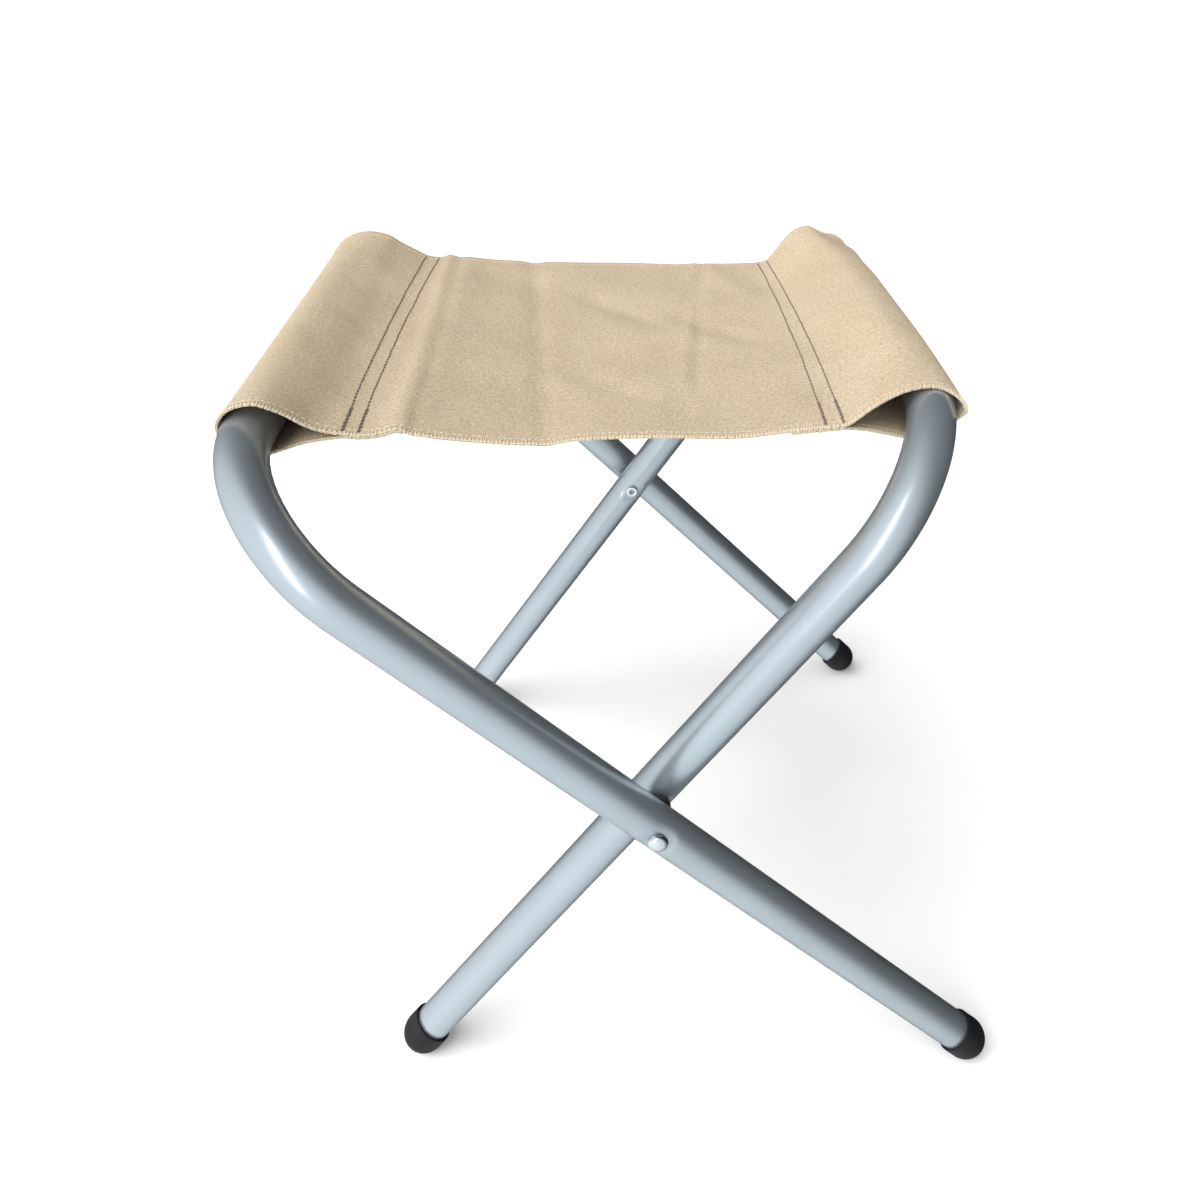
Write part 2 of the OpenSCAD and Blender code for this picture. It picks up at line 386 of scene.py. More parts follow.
ENAMEL = enamel_material()
STEEL = steel_material()
NYLON = nylon_material()
RUBBER = rubber_material()
CANVAS = canvas_material()
SEAM_THREAD = thread_material(
    "seam_thread", (0.075, 0.054, 0.040), (0.215, 0.165, 0.125), 0.7)
EDGE_THREAD = thread_material(
    "edge_thread", (0.500, 0.410, 0.290), (0.760, 0.660, 0.500), 0.62)


def dress(obj, material):
    """Gives a piece its material."""
    obj.data.materials.clear()
    obj.data.materials.append(material)


def settle(obj, material, body, node):
    """Finishes a rigid piece: its look, the body it rides on and what it stands for."""
    dress(obj, material)
    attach(obj, body)
    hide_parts(node)


# ---- camera, floor, light

# Yaw, pitch and roll in radians; the place, from the pivot, and the lens in millimetres
CAMERA_ANGLES = (0.0582, -0.5748, -0.0051)
CAMERA_FROM_PIVOT = (-15.218, -460.68, 345.356)
CAMERA_LENS, CAMERA_SENSOR = 29.833, 36.0
CAMERA_SHIFT = (-0.0501, -0.0525)

FLOOR_HALF = 70.0  # metres
# The side of the room that is bright, and its level from the far side to that side
ROOM_LIGHT_SIDE = (-0.60, -0.72, -0.20)
ROOM_RAMP = [(0.0, 0.02), (0.34, 0.05), (0.48, 0.30), (0.64, 0.84), (1.0, 1.30)]
ROOM_TINT = (0.93, 0.98, 1.0)


def camera():
    """The photograph's angle, with the shift that its framing needs."""
    yaw, pitch, roll = CAMERA_ANGLES
    ahead = Vector((math.sin(yaw) * math.cos(pitch), math.cos(yaw) * math.cos(pitch),
                    math.sin(pitch)))
    right = Vector((math.cos(yaw), -math.sin(yaw), 0))
    up = right.cross(ahead)
    turned = right * math.cos(roll) + up * math.sin(roll)
    up = up * math.cos(roll) - right * math.sin(roll)
    data = bpy.data.cameras.new("camera")
    data.sensor_width = CAMERA_SENSOR
    data.lens = CAMERA_LENS
    data.shift_x, data.shift_y = CAMERA_SHIFT
    data.clip_start, data.clip_end = 0.02, 200.0
    obj = bpy.data.objects.new("camera", data)
    columns = Matrix((turned, up, -ahead)).transposed().to_4x4()
    place = Vector(np.add(PIVOT, CAMERA_FROM_PIVOT)) * MM
    obj.matrix_world = Matrix.Translation(place) @ columns
    bpy.context.scene.collection.objects.link(obj)
    bpy.context.scene.camera = obj


def studio():
    """A pale floor, a broad soft key from above and a little to the left, and a room
    that is bright at the left and in front, and darker at the right and behind."""
    corners = np.array([(-1, -1, 0), (1, -1, 0), (1, 1, 0), (-1, 1, 0)]) * FLOOR_HALF / MM
    floor = new_object("floor", corners, [(0, 1, 2, 3)], shade=False)
    n = Surface("floor_paper")
    n.constants(Specular_IOR_Level=0.0, Roughness=1.0, Emission_Color=(1, 1, 1, 1),
                Emission_Strength=0.07)
    tint = n.ramp(n.noise(n.place(), 3.0, 3, 0.5),
                  [(0.3, (0.92, 0.92, 0.925)), (0.7, (0.94, 0.94, 0.945))])
    floor.data.materials.append(n.finish(tint))
    floor.visible_glossy = False

    world = bpy.data.worlds.new("sky")
    bpy.context.scene.world = world
    room = Nodes(world)
    side = room.add("ShaderNodeVectorMath", operation="DOT_PRODUCT")
    room.feed(side, {0: room.add("ShaderNodeTexCoord").outputs["Generated"],
                     1: Vector(ROOM_LIGHT_SIDE).normalized()})
    level = room.ramp(room.scaled(side.outputs["Value"], 0.5, 0.5),
                      [(position, [level * part for part in ROOM_TINT])
                       for position, level in ROOM_RAMP])
    # the backdrop itself is white paper
    seen = room.add("ShaderNodeLightPath").outputs["Is Camera Ray"]
    room.feed(room.tree.nodes["Background"], {"Color": room.mix(seen, level, (1, 1, 1))})

    def lamp(name, kind, towards, energy, colour, distance=0.0):
        """A light that shines from towards onto the middle of the stool."""
        data = bpy.data.lights.new(name, kind)
        data.energy = energy
        data.color = colour
        light = bpy.data.objects.new(name, data)
        towards = Vector(towards).normalized()
        light.rotation_euler = towards.to_track_quat("Z", "Y").to_euler()
        light.location = Vector((0, 0, 0.25)) + towards * distance
        light.visible_camera = False
        bpy.context.scene.collection.objects.link(light)
        return light

    # the key shapes the cloth; only the window is mirrored in the enamel
    key = lamp("key", "SUN", (-0.48, -0.18, 0.86), 3.4, (1.0, 0.99, 0.97))
    key.data.angle = math.radians(62.0)
    key.visible_glossy = False
    window = lamp("window", "AREA", (-0.34, -0.82, 0.47), 12.0, (1.0, 1.0, 1.0), 2.3)
    window.data.shape = "RECTANGLE"
    window.data.size, window.data.size_y = 0.26, 2.2
    bpy.context.scene.view_settings.view_transform = "Standard"


# ---- tube frames

RING = 72  # points round a tube
LEG_STEP, RIVET_STEP = 7.0, 0.9  # from ring to ring along a leg, and round the rivet
BEND_STEPS, RAIL_STEPS = 61, 24
# a bend is oval, by these shares of the radius, and rippled on its inner side
BEND_FLATTER, BEND_WIDER = 0.022, 0.012
RIPPLE, RIPPLE_LENGTH = 0.17, 0.95
# the pressed place round a rivet: flat radius, slope and reach
PRESS_R, PRESS_SLOPE, PRESS_REACH = 4.6, 5.2, 16


def u_stations(width, up, down):
    """Stations along a U: y, s (up the legs), and the angle turned through so far."""
    half = width / 2
    leg = [*np.arange(-down, -16, LEG_STEP), *np.arange(-15, 15.5, RIVET_STEP),
           *np.arange(18, up - BEND_R - 3, LEG_STEP)]
    front = [(-half, s, 0.0) for s in leg]
    front += [(-half + BEND_R * (1 - math.cos(a)), up - BEND_R * (1 - math.sin(a)), a)
              for a in np.radians(np.linspace(0, 90, BEND_STEPS))]
    rail = np.linspace(-half + BEND_R, half - BEND_R, RAIL_STEPS)[1:-1]
    return (front + [(y, up, math.pi / 2) for y in rail]
            + [(-y, s, math.pi - a) for y, s, a in front[::-1]])


def tube_frame(name, node, width, lean, outside_depth, inside_depth, body):
    """One U of tube, pressed in a little round the rivet on its outer and inner sides,
    with bends that are slightly oval and rippled."""
    up, down = RISE / math.cos(lean), DROP / math.cos(lean) + TUBE_PAST
    around = np.linspace(0, 2 * math.pi, RING, endpoint=False)
    out, side = np.cos(around), np.sin(around)
    shells = []
    for radius in (TUBE_R, TUBE_R - TUBE_WALL):
        rows = []
        for y, s, a in u_stations(width, up, down):
            outward_y, outward_s = -math.cos(a), math.sin(a)
            # share of the bend: 0 on the legs and the rail, 1 at the middle of a bend
            turn = a if a <= math.pi / 2 else math.pi - a
            share = math.sin(2 * turn) if 0 < turn < math.pi / 2 else 0.0
            reach = radius * (1 - BEND_FLATTER * share) * out
            # ripples on the inner side of a bend, strongest near the rail
            inner = smooth((0.35 - out) / 1.1)
            near_rail = share * smooth(turn / (math.pi / 2)) ** 1.5
            reach -= RIPPLE * near_rail * inner * math.sin(turn * BEND_R / RIPPLE_LENGTH)
            across = radius * (1 + BEND_WIDER * share) * side
            if abs(s) < PRESS_REACH and share == 0.0:
                distance = np.hypot(s, across)
                press = 1 - smooth((distance - PRESS_R) / PRESS_SLOPE)
                reach = reach - outside_depth * press * (out > 0)
                reach = reach + inside_depth * press * (out < 0)
            rows.append(np.stack([across, y + reach * outward_y,
                                  s + reach * outward_s], -1))
        shells.append(np.array(rows))
    count = shells[0].shape[0]
    points = np.concatenate([lean_points(shell, lean).reshape(-1, 3) for shell in shells])
    second = count * RING
    faces = grid_faces(count, RING, closed=True)
    faces += [f[::-1] for f in grid_faces(count, RING, closed=True, start=second)]
    for start in (0, second - RING):
        for j in range(RING):
            a, b = start + j, start + (j + 1) % RING
            faces.append((a, b, second + b, second + a))
    obj = outward(new_object(name, points, faces))
    bit = [(0, -width), (RIVET_HOLE_R, -width), (RIVET_HOLE_R, width), (0, width)]
    drill = revolve("drill", bit, PIVOT, (0, 1, 0), 48)
    cut = obj.modifiers.new("rivet_holes", "BOOLEAN")
    cut.operation, cut.solver, cut.object = "DIFFERENCE", "EXACT", drill
    apply_modifiers(obj)
    bpy.data.objects.remove(drill)
    obj.data.polygons.foreach_set("use_smooth", np.ones(len(obj.data.polygons), bool))
    settle(obj, ENAMEL, body, node)


def revolve(name, profile, centre, axis, steps, clamp_floor=False):
    """Turns a profile of (radius, distance along the axis) about an axis through centre.
    With clamp_floor, what is below the floor is flattened onto it."""
    axis = Vector(axis).normalized()
    turn = Vector((0, 0, 1)).rotation_difference(axis).to_matrix()
    turns = np.linspace(0, 2 * math.pi, steps, endpoint=False)
    points, faces, rows = [], [], []
    for radius, along in profile:
        if radius < 1e-9:
            rows.append([len(points)])
            points.append((0, 0, along))
        else:
            rows.append(list(range(len(points), len(points) + steps)))
            points += [(radius * math.cos(t), radius * math.sin(t), along) for t in turns]
    for upper, lower in zip(rows, rows[1:]):
        for j in range(steps):
            k = (j + 1) % steps
            if len(upper) == 1:
                faces.append((upper[0], lower[j], lower[k]))
            elif len(lower) == 1:
                faces.append((upper[j], lower[0], upper[k]))
            else:
                faces.append((upper[j], lower[j], lower[k], upper[k]))
    points = np.array(points) @ np.array(turn).T + np.array(centre)
    if clamp_floor:
        points[:, 2] = np.maximum(points[:, 2], 0.0)
    return outward(new_object(name, points, faces))


def arc(centre, radius_x, radius_z, first, last, count):
    """Points on an ellipse's arc, in degrees."""
    angles = np.radians(np.linspace(first, last, count))
    return [(centre[0] + radius_x * math.cos(a), centre[1] + radius_z * math.sin(a))
            for a in angles]


def foot_cap(name, node, lean, y, body):
    """A moulded rubber cup with a domed end, worn flat where it stands."""
    lip, mouth_r, socket_r = 0.55, CAP_R - 0.06, TUBE_R + 0.04
    socket_end = -TUBE_PAST - 0.05
    profile = [(0.0, -CAP_R)] + arc((0, 0), CAP_R, CAP_R, -90, 0, 26)[1:]
    profile += [(CAP_R, 1.6), (CAP_R, 3.2), (mouth_r, CAP_RISE - 1.6)]
    profile += arc((mouth_r - lip, CAP_RISE - lip), lip, lip, 0, 90, 7)
    profile += [(TUBE_R + 0.35, CAP_RISE - 0.05), (socket_r, CAP_RISE - 0.35),
                (socket_r, 0.0), (socket_r, socket_end), (0.0, socket_end)]
    centre = lean_points(np.array([0.0, y, -DROP / math.cos(lean)]), lean)
    axis = (-math.sin(lean), 0, math.cos(lean))
    obj = revolve(name, profile, centre, axis, 72, clamp_floor=True)
    # the cup has been pushed on a little askew, further up the leg's upper side
    upper = np.array([math.cos(lean), 0, math.sin(lean)]) * (1 if lean > 0 else -1)
    points = np.array([v.co for v in obj.data.vertices])
    offset = points / MM - centre
    along = np.maximum(offset @ np.array(axis), 0) / CAP_RISE
    askew = (CAP_ASKEW[0] * (offset @ upper) - CAP_ASKEW[1] * offset[:, 1]) / CAP_R
    points += (along * askew)[:, None] * np.array(axis) * MM
    obj.data.vertices.foreach_set("co", points.ravel())
    settle(obj, RUBBER, body, node)


def rivet(name, node, side):
    """Domed head outside, shank through both tubes, rolled-over hollow end inside."""
    head_y = OUTER_WIDTH / 2 + TUBE_R
    end_y = INNER_WIDTH / 2 - TUBE_R + 0.55
    profile = [(0.0, head_y + 2.55)] + arc((0, head_y - 0.1), 4.7, 2.65, 90, 4, 12)[1:]
    profile += [(4.68, head_y - 0.45), (4.45, head_y - 0.85), (RIVET_R, head_y - 0.95),
                (RIVET_R, end_y)]
    profile += arc((3.1, end_y - 0.75), 0.9, 0.75, 90, -90, 9)
    profile += arc((2.35, end_y - 0.9), 0.85, 0.6, -90, -180, 5)
    profile += [(1.45, end_y + 0.6), (1.4, end_y + 5.0), (0.0, end_y + 5.4)]
    obj = revolve(name, profile, PIVOT, (0, side, 0), 56)
    settle(obj, STEEL, "outer", node)


def spacer(name, node, side):
    """A moulded ring with eased edges, between the pressed faces of the two tubes."""
    sunk = 0.35
    near, far = INNER_WIDTH / 2 + TUBE_R - sunk, OUTER_WIDTH / 2 - TUBE_R + sunk
    outer_r, ease = 7.0, 0.4
    profile = [(RIVET_HOLE_R, near), (outer_r - ease, near)]
    profile += arc((outer_r - ease, near + ease), ease, ease, -90, 0, 5)
    profile += arc((outer_r - ease, far - ease), ease, ease, 0, 90, 5)
    profile += [(RIVET_HOLE_R, far), (RIVET_HOLE_R, near)]
    obj = revolve(name, profile, PIVOT, (0, side, 0), 56)
    # the profile ends where it starts, so its two rings there become one
    bm = bmesh.new()
    bm.from_mesh(obj.data)
    bmesh.ops.remove_doubles(bm, verts=bm.verts, dist=1e-7)
    bm.to_mesh(obj.data)
    bm.free()
    settle(obj, NYLON, "outer", node)


# ---- canvas

CANVAS_T = 1.0
CANVAS_HALF = 108.0  # half of its width along the rails
FLAP_GAP = 1.12  # from the top layer's middle to the flap's
CELL = 1.9  # the grid's longest step along the profile

# Sections of the sheet at its front edge, its middle and its rear edge. Each row is
# front x, z and distance back from the edge; middle x, z; rear x, z and distance on
# past the edge. The panel's rows have no distances, since its edges are straight. The
# sleeves' points are measured from their rail's centre, and the panel's from SEAT_X; all
# heights are from the rails' centres.
LEFT_SLEEVE = [
    (60.5, -0.1, 0, 60.5, 0.2, 60.5, 1.4, 0),
    (52, -0.6, 0, 52, -0.6, 52, 1.2, 0),
    (44, -1.4, 0, 45, -0.9, 46.5, 1.6, 0),
    (38.4, -0.9, 0, 39.5, -0.2, 42.2, 2.4, 0),
    (31.5, -1.9, 1.2, 31.5, -2.6, 33, 0, 0),
    (20, -4.9, 4, 20, -6.7, 21, -4.6, 0),
    (10.5, -8.6, 6, 10, -10.7, 10.5, -10.2, 0),
    (2.5, -11.6, 7.5, 2.5, -12.8, 2.5, -12.9, 0.5),
    (-5, -10.9, 8, -6, -11.6, -6, -12, 1),
    (-9.4, -6.4, 7, -10, -6.4, -10.4, -6.8, 1.5),
    (-11.2, 0.2, 4, -11.2, 0.5, -11.4, 1, 2),
    (-9.2, 6.6, 0.5, -8.9, 6.9, -9.2, 7.2, 3),
    (-4.6, 11.8, -1.2, -5.2, 10.8, -4.2, 12.4, 4.5),
    (0.6, 14.2, -1.6, 0.2, 13, 2.8, 15.2, 5),
    (7.1, 14.9, -2, 6.4, 12.6, 9.4, 16.3, 5),
    (12.2, 12.9, -2, 12.8, 10.6, 16.1, 15.6, 4),
    (17.5, 9.4, -1, 19, 8.1, 21.6, 14, 3),
    (23.3, 5.2, -0.5, 26, 4.6, 28, 10.2, 1.8),
    (29.8, 2.1, 0, 31.2, 2.7, 34.5, 7.2, 0.8),
    (37.2, 0.5, 0, 36.6, 1.3, 41.8, 3.6, 0),
    (43.1, -0.4, 0, 43.1, 0.5, 48.8, 2.3, 0),
]
SEAT_X = PIVOT_X + 5.427
PANEL = [
    (-112, -0.2, -108.5, 0.5, -106.5, 2.3),
    (-105.2, 0.6, -103.5, 1.1, -102.5, 2.5),
    (-100.6, 1, -99.8, 1.5, -99, 2.4),
    (-97, 0.2, -96, 0.7, -94, 1.6),
    (-90.1, -1.9, -89.5, -1, -87.5, 0.6),
    (-80.6, -3.4, -80, -2.6, -80, -0.1),
    (-68, -4.9, -68, -4.3, -68, -0.8),
    (-55, -6.3, -55, -5.8, -56, -1.6),
    (-42, -6.1, -42, -6.4, -42, -2.3),
    (-28, -5.2, -28, -6.5, -28, -3),
    (-12, -5, -12, -6.3, -12, -3.4),
    (4, -4.9, 4, -6, 4, -3.8),
    (19, -5.8, 19, -5.7, 19, -4.5),
    (33, -6.2, 33, -5.4, 35, -5.2),
    (46, -5.3, 46, -4.9, 48, -5.6),
    (56.5, -4.5, 56.5, -4.3, 60, -5.8),
]
RIGHT_SLEEVE = [
    (-46.9, -3.8, 0, -43.4, -3.4, -43.6, -5.4, 0),
    (-39, -2.9, 0, -36.8, -2, -38.4, -3.9, 0),
    (-35, -0.7, 0.6, -31.6, 0.6, -32.9, 1.5, 0.5),
    (-28.5, 2.6, 3, -26, 3.6, -28.3, 7.2, 1),
    (-20.5, 5.6, 6, -19, 7.6, -23.8, 11.8, 2),
    (-12.1, 8.1, 8, -12.5, 11, -19.3, 14.2, 2),
    (-3, 8.9, 9, -6, 13.2, -14.7, 14.9, 2),
    (2.4, 7.9, 8.5, 0.4, 12.6, -9.9, 12.6, 2),
    (6.6, 5.9, 7, 6, 10.4, -5.1, 10.6, 2),
    (9.6, 3.6, 5, 9.4, 6.6, 0.2, 9.9, 2),
    (11.2, 0.2, 4, 11.4, 1, 6.6, 5.2, 1.6),
    (9.2, -6.2, 9, 10.6, -6.4, 8.2, -4, 1),
    (4.5, -12.6, 10, 6, -11.8, 4.6, -13.6, 0.5),
    (-3.2, -15.6, 9, -2.5, -13, -5, -19.2, 0),
    (-11.8, -12.4, 7, -10, -11.2, -13, -16.5, 0),
    (-22.5, -8.9, 5, -20, -8.2, -22, -12.2, 0),
    (-31, -5.9, 2.5, -31, -5.4, -31, -8.2, 0),
    (-39.6, -4.1, 0, -39.6, -3.6, -38.8, -5, 0),
    (-46, -4.9, 0, -46, -4.6, -46, -6.4, 0),
    (-54, -5.8, 0, -54, -5.6, -54, -7.2, 0),
    (-60.5, -6.2, 0, -60.5, -6, -60.5, -7.4, 0),
]
# The tables' rows on which the seams lie, on top and underneath
SEAM_LEFT_OUTER = len(LEFT_SLEEVE) - 2
SEAM_LEFT_INNER = len(LEFT_SLEEVE) - 1
SEAM_RIGHT_INNER = len(LEFT_SLEEVE) + len(PANEL)
SEAM_RIGHT_OUTER = SEAM_RIGHT_INNER + 1
UNDER_LEFT = 3
UNDER_RIGHT = SEAM_RIGHT_INNER + 17

# Folds on the seat, measured from SEAT_X and the middle of the rails: the two ends of the
# line, the height, the width, the skew and the share of the line in which it fades out
FOLDS = [
    # the step down off the end of the left flap
    ((-104, 125), (-100, -125), 1.6, 4.2, 0.85, 0.04),
    # creases from being folded away
    ((-60, 125), (-44, -125), -1, 5, 0, 0.06),
    ((37, 122), (14, -80), 1, 3.6, 1, 0.15),
    ((34, 98), (19, 10), -1.3, 4.2, 0, 0.3),
    # slack diagonals
    ((-44, 74), (22, 2), -1.5, 7.5, 0.15, 0.3),
    ((2, 44), (62, -24), -1.4, 7, 0.1, 0.3),
    ((-48, -20), (6, -82), -1.4, 8, 0.2, 0.3),
    ((34, 118), (62, 40), 1.3, 7, 0.1, 0.3),
    ((-96, 86), (-44, 78), -1.1, 9, 0.2, 0.3),
    ((6, -108), (14, -52), -1, 6, 0.1, 0.3),
]


def control_points():
    """Front, middle and rear control points, each an array of (x, y, z)."""
    sections = [[], [], []]
    for rows, centre in ((LEFT_SLEEVE, LEFT_RAIL_X), (PANEL, SEAT_X),
                         (RIGHT_SLEEVE, RIGHT_RAIL_X)):
        for row in rows:
            if rows is PANEL:
                row = (*row[:2], 0.0, *row[2:], 0.0)
            xf, zf, back, xm, zm, xr, zr, past = row
            sections[0].append((centre + xf, -CANVAS_HALF + back, RAIL_Z + zf))
            sections[1].append((centre + xm, 0.0, RAIL_Z + zm))
            sections[2].append((centre + xr, CANVAS_HALF + past, RAIL_Z + zr))
    return [np.array(s) for s in sections]


def catmull(points, segments):
    """A smooth curve through points (n x 3), with segments[k] steps after point k."""
    ends = np.vstack([2 * points[0] - points[1], points, 2 * points[-1] - points[-2]])
    lengths = np.maximum(np.linalg.norm(np.diff(ends, axis=0), axis=1), 1e-6) ** 0.5
    curve = []
    for k, steps in enumerate(segments):
        p0, p1, p2, p3 = ends[k:k + 4]
        d0, d1, d2 = lengths[k:k + 3]
        m1 = (p2 - p1) + d1 * ((p1 - p0) / d0 - (p2 - p0) / (d0 + d1))
        m2 = (p2 - p1) + d1 * ((p3 - p2) / d2 - (p3 - p1) / (d1 + d2))
        t = (np.arange(steps) / steps)[:, None]
        curve.append((2 * t ** 3 - 3 * t ** 2 + 1) * p1 + (t ** 3 - 2 * t ** 2 + t) * m1
                     + (3 * t ** 2 - 2 * t ** 3) * p2 + (t ** 3 - t ** 2) * m2)
    curve.append(points[-1:])
    return np.vstack(curve)


def fold(x, y, start, end, height, width, skew, ease):
    """A fold along a line on the seat: a ridge, a hollow if height is negative, or with
    skew a ridge beside a hollow."""
    start, end = np.array(start, float), np.array(end, float)
    run = end - start
    length = np.linalg.norm(run)
    run = run / length
    t = ((x - start[0]) * run[0] + (y - start[1]) * run[1]) / length
    d = (x - start[0]) * run[1] - (y - start[1]) * run[0]
    window = smooth(t / ease) * smooth((1 - t) / ease)
    shape = np.exp(-(d / width) ** 2)
    return height * window * shape * ((1 - skew) + skew * 1.6 * d / width)


def wrinkles(x, y):
    """How far the seat stands above its smooth shape, in millimetres."""
    rise = np.zeros_like(x)
    for row in FOLDS:
        rise += fold(x, y, *row)
    # soft unevenness
    rise += 0.30 * np.sin(x / 13.0 + 0.6 * np.sin(y / 31.0)) * np.cos(y / 37.0 + 0.4)
    rise += 0.18 * np.sin(y / 11.0 + x / 19.0 + 1.3)
    return rise


def frame_centres(width, lean):
    """Points down the middle of a frame's upper half, close together."""
    up = RISE / math.cos(lean)
    stations = [(y, s) for y, s, _ in u_stations(width, up, 40.0) if s > up - BEND_R - 30]
    dense = []
    for (y0, s0), (y1, s1) in zip(stations, stations[1:]):
        steps = max(1, int(math.hypot(y1 - y0, s1 - s0)))
        dense += [(0.0, y0 + (y1 - y0) * k / steps, s0 + (s1 - s0) * k / steps)
                  for k in range(steps)]
    return lean_points(np.array(dense), lean)


def clear_tube(points, centres, gap):
    """Moves points of the sheet that are nearer than gap to a tube's middle out to it."""
    flat = points.reshape(-1, 3)
    low, high = centres.min(0) - gap - 1, centres.max(0) + gap + 1
    near = np.where(((flat > low) & (flat < high)).all(1))[0]
    for part in np.array_split(near, max(1, len(near) // 2000)):
        offset = flat[part][:, None] - centres[None]
        distance = np.linalg.norm(offset, axis=2)
        best = distance.argmin(1)
        d = distance[np.arange(len(part)), best]
        push = np.clip(gap - d, 0, None)
        away = offset[np.arange(len(part)), best] / np.maximum(d, 1e-6)[:, None]
        flat[part] += away * push[:, None]
    return flat.reshape(points.shape)


def soften(grid, amount):
    """One pass of smoothing over a grid of points, its border held."""
    mean = grid.copy()
    mean[1:-1, 1:-1] = (grid[:-2, 1:-1] + grid[2:, 1:-1] + grid[1:-1, :-2]
                        + grid[1:-1, 2:]) / 4
    return grid + (mean - grid) * amount


def sheet_grid():
    """The sheet's middle surface as a grid (along the profile, along the rails)."""
    front, middle, rear = control_points()
    lengths = np.linalg.norm(np.diff(middle, axis=0), axis=1)
    segments = np.maximum(2, np.ceil(lengths / CELL)).astype(int)
    marks = np.concatenate([[0], np.cumsum(segments)])
    stations = np.concatenate([[0, 0.006, 0.015], np.linspace(0.026, 0.974, 84),
                               [0.985, 0.994, 1]])
    rows = []
    # the share of the width over which an edge's own section fades out, and how fast
    reach, fade = 0.33, 1.75
    for v in stations:
        to_front = max(0.0, 1 - v / reach) ** fade
        to_rear = max(0.0, 1 - (1 - v) / reach) ** fade
        # the seams and the panel are straight lines from edge to edge, the sleeves are not
        straight = front * (1 - v) + rear * v
        base = middle.copy()
        base[:, 1] = -CANVAS_HALF + 2 * CANVAS_HALF * v
        local = base + (front - middle - [0, -CANVAS_HALF, 0]) * to_front \
            + (rear - middle - [0, CANVAS_HALF, 0]) * to_rear
        bow = 4 * v * (1 - v)
        through = straight + (middle - (front + rear) / 2) * bow
        through[:, 1] = local[:, 1]
        mixing = np.zeros((len(front), 1))
        first, last = SEAM_LEFT_OUTER, SEAM_RIGHT_OUTER
        mixing[first:last + 1] = 1.0
        for offset, share in ((1, 0.75), (2, 0.5), (3, 0.25)):
            mixing[first - offset] = mixing[last + offset] = share
        mixing[UNDER_LEFT] = mixing[UNDER_RIGHT] = 1.0
        mixing[UNDER_LEFT + 1] = mixing[UNDER_RIGHT - 1] = 0.6
        rows.append(catmull(local * (1 - mixing) + through * mixing, segments))
    grid = np.array(rows).transpose(1, 0, 2)

    top0, top1 = marks[[SEAM_LEFT_OUTER, SEAM_RIGHT_OUTER]]
    # creases on the seat, eased out up the sleeves' slopes
    seat_rows = slice(top0 - 12, top1 + 13)
    x, y = grid[seat_rows, :, 0], grid[seat_rows, :, 1]
    slope = 22
    ease = smooth((x - LEFT_RAIL_X - 34) / slope) * smooth((RIGHT_RAIL_X - 30 - x) / slope)
    grid[seat_rows, :, 2] += wrinkles(x - SEAT_X, y) * ease
    # slight waves on the sleeves, and puckers along the stitches
    profile = np.arange(grid.shape[0])[:, None]
    for seam, sign in ((top0, -1), (top1, 1)):
        away = (profile - seam) * sign
        sleeve = smooth(away / 8) * smooth((26 - away) / 14)
        y = grid[:, :, 1]
        grid[:, :, 2] += sleeve * (0.28 * np.sin(y / 17.0 + away / 9.0)
                                   + 0.16 * np.sin(y / 7.3 - away / 5.0))
        pucker = np.exp(-(away / 3.2) ** 2)
        grid[:, :, 2] += 0.13 * pucker * np.sin(y / 1.75 + sign)
    # the under layers' flaps lie just below the top layer
    for flap in (slice(marks[UNDER_LEFT] + 1), slice(marks[UNDER_RIGHT], None)):
        top = grid[top0 - 2:top1 + 3]
        for j in range(grid.shape[1]):
            grid[flap, j, 2] = np.interp(grid[flap, j, 0], top[:, j, 0],
                                         top[:, j, 2]) - FLAP_GAP
    grid = soften(grid, 0.5)
    # the cloth is then kept off the tubes, and smoothed where it was moved
    gap = TUBE_R + CANVAS_T / 2 + 0.12
    tubes = [frame_centres(OUTER_WIDTH, OUTER_LEAN),
             frame_centres(INNER_WIDTH, INNER_LEAN)]
    for _ in range(4):
        for centres in tubes:
            grid = clear_tube(grid, centres, gap)
        grid = soften(grid, 0.35)
    for centres in tubes:
        grid = clear_tube(grid, centres, gap)
    return grid, marks


